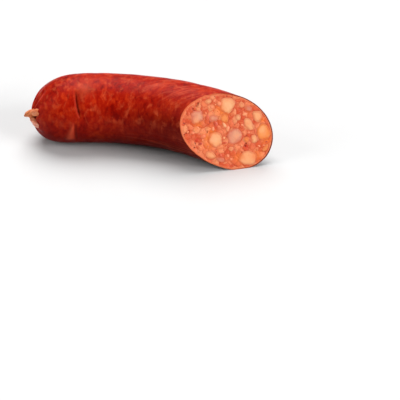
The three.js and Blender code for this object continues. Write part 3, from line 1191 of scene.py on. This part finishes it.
def stains(face, places):
    """How much paprika oil each place holds."""
    spots = []
    for number, sides in OIL_RUNS.items():
        packed = coordinates(frame["nodes"][FAT_NODES[number - 1]].data)
        (across, rise), reach = middle_and_reach(face.places(packed))
        for turn in np.radians(sides):
            spots.append((across + OIL_REACH * reach * math.cos(turn),
                          rise + OIL_REACH * reach * math.sin(turn), OIL_SPREAD * reach))
    return soaked(places, spots)


def on_dial(face, shape, clock, share):
    """The place across and up the face that lies toward an hour, a share of the way out."""
    turn = clock / 12 * math.tau
    toward = math.sin(turn) * face.cut.across + math.cos(turn) * face.cut.rise
    way = share * shape.radius / math.sqrt(1 - (toward @ face.cut.on) ** 2)
    return way * math.sin(turn), way * math.cos(turn)


def red_spots(face, shape, places):
    """How lean the meat is at each place."""
    spots = [(*on_dial(face, shape, clock, share), radius * MM)
             for clock, share, radius in LEAN_SPOTS]
    return soaked(places, spots)


def holes(face, shape, places, seed):
    """How deep in a hole each place is."""
    chance = np.random.default_rng(seed)
    spots = []
    for cluster in [on_dial(face, shape, *way) for way in HOLE_CLUSTERS]:
        for _ in range(HOLES_IN_CLUSTER):
            spots.append((*chance.normal(cluster, HOLE_SCATTER), chance.uniform(*HOLE_RADII)))
    return soaked(places, spots)


CRUMB_RINGS = 6  # every sixth ring of the face is enough to strew crumbs over
CRUMB_RIM_GAP = 1.6 * MM  # crumbs lie at least this far from the rim
CRUMB_FAT_GAP = 1.0 * MM  # and this far from the fat


def crumb_graph(material):
    """Strews flat crumbs of fat and meat over the open part of the cut face."""
    g = geometry_graph("Crumbs", {
        "Spacing": "Float", "Smallest": "Float", "Largest": "Float", "Sink": "Float",
        "Normal": "Vector", "Seed": "Int"})
    seed = g.given("Seed")
    spread = g.add("GeometryNodeDistributePointsOnFaces", {"distribute_method": "POISSON"}, {
        "Mesh": g.given("Mesh"), "Distance Min": g.given("Spacing"), "Density Max": 9e5,
        "Density Factor": g.kept("open"), "Seed": seed}, "Points")
    crumb = g.add("GeometryNodeMeshUVSphere", None,
                  {"Segments": 10, "Rings": 7, "Radius": 1.0}, "Mesh")
    height = g.split(g.add("GeometryNodeInputPosition"))[2]
    crumb = store(g, crumb, "crown", g.ease(height, 0.6, 0.98))
    spin = g.random(0.0, math.tau, seed)
    chance = g.random(0.0, 1.0, seed + 1)
    size = g.given("Smallest") + (g.given("Largest") - g.given("Smallest")) * chance ** 2.2
    scale = g.pack(size * g.random(0.8, 1.4, seed + 2),
                   size * g.random(0.5, 0.95, seed + 3), size * 0.3 + 0.0001)
    turned = g.add("FunctionNodeRotateRotation", {"rotation_space": "LOCAL"}, {
        "Rotation": spread.other("Rotation"),
        "Rotate By": g.add("FunctionNodeEulerToRotation", None, {0: g.pack(0.0, 0.0, spin)})})
    strewn = g.add("GeometryNodeInstanceOnPoints", None, {
        "Points": spread, "Instance": crumb, "Rotation": turned, "Scale": scale})
    strewn = store(g, strewn, "tint", g.random(0.0, 1.0, seed + 5), domain="INSTANCE")
    mesh = g.add("GeometryNodeRealizeInstances", None, {0: strewn})
    place = g.add("GeometryNodeInputPosition")
    shift = (g.cloud(place, 600.0, 2.0).other("Color") - 0.5) * 0.0014
    shift = shift - g.given("Normal") * g.given("Sink")
    mesh = g.add("GeometryNodeSetPosition", None, {"Geometry": mesh, "Offset": shift})
    mesh = g.add("GeometryNodeSetShadeSmooth", None, {"Geometry": mesh, "Shade Smooth": True})
    return finish_geometry(g, mesh, material)


class SAUSAGE_OT_crumbs(bpy.types.Operator):
    """Add the crumbs of fat and meat that lie level with the cut face"""

    bl_idname = "sausage.crumbs"
    bl_label = "Crumbs"

    def execute(self, context):
        scene = context.scene
        material = crumb_material(scene.sausage_colours)
        skin = Skin(scene, material)
        top = FacePoints(skin, scene.sausage_shape.wall, CRUMB_RINGS)
        clear = (top.rim_gap > CRUMB_RIM_GAP) & (top.fat_gap > CRUMB_FAT_GAP) & (top.sunk == 0)
        mesh = open_mesh("crumbs", top.rings, {"open": clear.astype(float)})
        mesh = grown("crumbs", crumb_graph(material), {
            "Spacing": 2.2 * MM, "Smallest": 0.6 * MM, "Largest": 1.8 * MM, "Sink": 0.36 * MM,
            "Normal": list(skin.cut.normal), "Seed": scene.sausage_skin.seed}, mesh)
        add_piece("crumbs", mesh, material, "fat_pale")
        return {"FINISHED"}


# The tail of gathered casing: its radius at each distance out from the closed end.
TAIL_OUTLINE = ((-1.6, 0.3), (-0.7, 2.3), (0.3, 2.3), (1.2, 2.2), (2.3, 2.0), (3.4, 1.7),
                (4.5, 1.1), (5.2, 0.4))
# Folds that lie beside it: from one place to another, aside and up, their radius at each
# end, and how far out from the skin they start and end.
FOLDS = (((0.2, 3.8), (-7.4, 7.2), (1.7, 2.5), (0.6, -1.4)),
         ((-0.6, 0.9), (-9.2, -1.5), (1.5, 1.9), (1.1, -0.9)),
         ((0.4, 4.2), (-0.4, -0.6), (1.3, 1.3), (1.9, 0.0)))


TAIL_SPAN = (-1.5, 5.1)  # millimetres out from the closed end that the tail is built over
TAIL_RINGS, FOLD_RINGS, TUBE_SIDES = 26, 16, 48


class ClosedEnd:
    """The directions at the sausage's tip, and points on the skin round it."""

    def __init__(self, shape):
        self.shape = shape
        angle = -shape.bend_sweep / 2
        self.outward = -np.array((math.cos(angle), -math.sin(angle), 0))
        self.radius = shape.radius * (1 - shape.taper)

    def point(self, aside, up):
        """The point on the skin that lies aside of and up from the tip."""
        shape = self.shape
        share = min(math.hypot(aside, up) / self.radius, 0.999)
        to_tip = (1 - share ** shape.dome_fullness) ** (1 / shape.dome_fullness)
        station = shape.dome_length * (1 - to_tip)
        angle = station / shape.bend_radius - shape.bend_sweep / 2
        out = shape.bend_radius + aside
        height = self.radius - shape.rest_depth - shape.tip_droop * to_tip ** 2
        return np.array((out * math.sin(angle), out * math.cos(angle) - shape.bend_radius,
                         height + up))


def pleated_tube(centres, radii, pleats, twist, depth):
    """Rings round a path, drawn in and out by pleats that twist along it."""
    centres = np.array(centres)
    along = np.gradient(centres, axis=0)
    along /= np.linalg.norm(along, axis=1, keepdims=True)
    first = np.cross(along, (0, 0, 1.0))
    first /= np.linalg.norm(first, axis=1, keepdims=True)
    second = np.cross(along, first)
    turn = np.arange(TUBE_SIDES) * (math.tau / TUBE_SIDES)
    rings = []
    for step, (centre, radius) in enumerate(zip(centres, radii)):
        wave = np.cos(turn * pleats + twist * step)
        size = (radius * (1 + depth * wave))[:, None]
        rings.append(centre + size * (first[step] * np.cos(turn)[:, None]
                                      + second[step] * np.sin(turn)[:, None]))
    return rings


def knot_mesh(shape):
    """The tail and the folds of gathered casing, grown into one skin."""
    end = ClosedEnd(shape)
    base = end.point(0.0, KNOT_UP)
    steps = np.linspace(*TAIL_SPAN, TAIL_RINGS)
    sway = np.array((0, 0, -0.05))
    centres = [base + end.outward * (s * MM) + sway * (max(s, 0) ** 2 * MM) for s in steps]
    radii = np.interp(steps, *zip(*TAIL_OUTLINE)) * MM
    tubes = [pleated_tube(centres, radii, pleats=5, twist=0.22, depth=0.13)]
    for start, stop, thickness, rises in FOLDS:
        shares = np.linspace(0, 1, FOLD_RINGS)
        ways = np.outer(1 - shares, start) + np.outer(shares, stop)
        path = [end.point(aside * MM, up * MM) + end.outward * (rise * MM)
                for (aside, up), rise in zip(ways, np.interp(shares, (0, 1), rises))]
        swell = np.sqrt(np.clip(1 - (shares * 2 - 1) ** 4, 0.02, 1)) * MM
        radii = np.interp(shares, (0, 1), thickness) * swell
        tubes.append(pleated_tube(path, radii, pleats=4, twist=0.3, depth=0.16))
    builder = bmesh.new()
    for tube in tubes:
        part = closed_mesh("tube", tube[0].mean(0), tube, tube[-1].mean(0))
        builder.from_mesh(part)
        bpy.data.meshes.remove(part)
    bmesh.ops.recalc_face_normals(builder, faces=builder.faces)
    mesh = bpy.data.meshes.new("knot")
    builder.to_mesh(mesh)
    builder.free()
    mesh = remeshed("knot", mesh, 0.15 * MM, 4)
    points = coordinates(mesh)
    points += waver(points, 1.6 * MM, 3.0) * 0.22 * MM + waver(points, 0.6 * MM, 9.0) * 0.07 * MM
    mesh.vertices.foreach_set("co", points.ravel())
    tip = end.point(0.0, 0.0)
    reach = (points - base) @ end.outward
    keep(mesh, "dry", np.clip((reach - 3.4 * MM) / (2 * MM), 0, 1))
    keep(mesh, "lower", np.clip((tip[2] + 2.0 * MM - points[:, 2]) / (1.6 * MM), 0, 1))
    keep(mesh, "ruddy", np.clip((points[:, 2] - base[2] - 1.2 * MM) / (3.4 * MM), 0, 1))
    mesh.update()
    return mesh


class SAUSAGE_OT_knot(bpy.types.Operator):
    """Add the knot: a short tail of gathered casing and the folds beside it"""

    bl_idname = "sausage.knot"
    bl_label = "Knot"

    def execute(self, context):
        material = knot_material(context.scene.sausage_colours)
        add_piece("knot", knot_mesh(context.scene.sausage_shape), material, "casing")
        return {"FINISHED"}


class SAUSAGE_OT_stage(bpy.types.Operator):
    """Add the pale floor, the soft lights and the camera"""

    bl_idname = "sausage.stage"
    bl_label = "Stage"

    def execute(self, context):
        add_floor()
        add_lights()
        add_world(context.scene)
        add_camera(context.scene)
        context.scene.view_settings.view_transform = "Standard"
        return {"FINISHED"}


FLOOR_RADIUS = 4.0
CAMERA = {"azimuth": math.radians(11.99), "elevation": math.radians(33.0), "distance": 0.6414,
          "lens": 104.6, "aim": (0.0506, -0.0569, -0.0004)}
# Broad, far softboxes: the side each shines from, how wide it looks, and its strength.
LIGHTS = {
    "overhead_softbox": {"from": (-0.12, 0.40, 0.82), "spread": math.radians(55), "strength": 3.7},
    "cut_light": {"from": (1.00, -0.30, 0.42), "spread": math.radians(30), "strength": 2.35},
    "left_fill": {"from": (-0.80, -0.35, 0.50), "spread": math.radians(30), "strength": 0.7},
}


def add_floor():
    """A wide round floor, level with the underside."""
    mesh = bpy.data.meshes.new("floor")
    builder = bmesh.new()
    bmesh.ops.create_circle(builder, cap_ends=True, segments=96, radius=FLOOR_RADIUS)
    builder.to_mesh(mesh)
    builder.free()
    floor = bpy.data.objects.new("floor", mesh)
    bpy.context.scene.collection.objects.link(floor)
    material, g = material_graph("pale_floor")
    place = g.add("ShaderNodeTexCoord", None, None, "Object")
    shade = g.blend(g.cloud(place, 40.0, 2.0), (0.60, 0.60, 0.60), (0.62, 0.62, 0.62))
    finish_material(g, {"Base Color": shade, "Roughness": 0.85, "Specular IOR Level": 0.1})
    mesh.materials.append(material)


def add_lights():
    """Soft lights, each aimed at the sausage."""
    for name, facts in LIGHTS.items():
        lamp = bpy.data.lights.new(name, "SUN")
        lamp.angle = facts["spread"]
        lamp.energy = facts["strength"]
        light = bpy.data.objects.new(name, lamp)
        light.location = facts["from"]
        light.rotation_euler = (-Vector(facts["from"])).to_track_quat("-Z", "Y").to_euler()
        bpy.context.scene.collection.objects.link(light)


def add_world(scene):
    """A pale surrounding that looks as bright as the floor but lights the scene less."""
    world = bpy.data.worlds.new("surround")
    world.use_nodes = True
    world.node_tree.nodes.clear()
    g = Graph(world.node_tree)
    seen = g.add("ShaderNodeLightPath", None, None, "Is Camera Ray")
    background = g.add("ShaderNodeBackground", None, {
        "Color": (1.0, 1.0, 1.0, 1), "Strength": 0.22 + seen * 0.72})
    g.add("ShaderNodeOutputWorld", None, {"Surface": background})
    scene.world = world


def add_camera(scene):
    """A long lens, aimed below and in front of the sausage."""
    data = bpy.data.cameras.new("camera")
    data.lens = CAMERA["lens"]
    data.sensor_width = 36.0
    camera = bpy.data.objects.new("camera", data)
    flat = math.cos(CAMERA["elevation"])
    back = Vector((math.sin(CAMERA["azimuth"]) * flat, -math.cos(CAMERA["azimuth"]) * flat,
                   math.sin(CAMERA["elevation"])))
    camera.location = Vector(CAMERA["aim"]) + back * CAMERA["distance"]
    camera.rotation_euler = (-back).to_track_quat("-Z", "Y").to_euler()
    scene.collection.objects.link(camera)
    scene.camera = camera


# --- Panel and registration -----------------------------------------------------------------


STEPS = (SAUSAGE_OT_casing, SAUSAGE_OT_knot, SAUSAGE_OT_fat, SAUSAGE_OT_filling,
         SAUSAGE_OT_crumbs, SAUSAGE_OT_stage)


class SAUSAGE_PT_panel(bpy.types.Panel):
    """Sizes, colours and steps of the sausage."""

    bl_idname = "SAUSAGE_PT_panel"
    bl_label = "Cured Sausage Half"
    bl_space_type = "VIEW_3D"
    bl_region_type = "UI"
    bl_category = "Sausage"

    def draw(self, context):
        for group in (context.scene.sausage_shape, context.scene.sausage_skin,
                      context.scene.sausage_colours):
            box = self.layout.box()
            for name in group.__annotations__:
                box.prop(group, name)
        for step in STEPS:
            self.layout.operator(step.bl_idname)


GROUPS = {"sausage_shape": SausageShape, "sausage_skin": SausageSkin,
          "sausage_colours": SausageColours}
CLASSES = (*GROUPS.values(), *STEPS, SAUSAGE_PT_panel)


def register():
    for item in CLASSES:
        bpy.utils.register_class(item)
    for name, group in GROUPS.items():
        setattr(bpy.types.Scene, name, PointerProperty(type=group))


def unregister():
    for name in GROUPS:
        delattr(bpy.types.Scene, name)
    for item in reversed(CLASSES):
        bpy.utils.unregister_class(item)


def main():
    register()
    bpy.ops.sausage.casing()
    bpy.ops.sausage.knot()
    bpy.ops.sausage.fat()
    bpy.ops.sausage.filling()
    bpy.ops.sausage.crumbs()
    bpy.ops.sausage.stage()


if __name__ == "__main__":
    main()
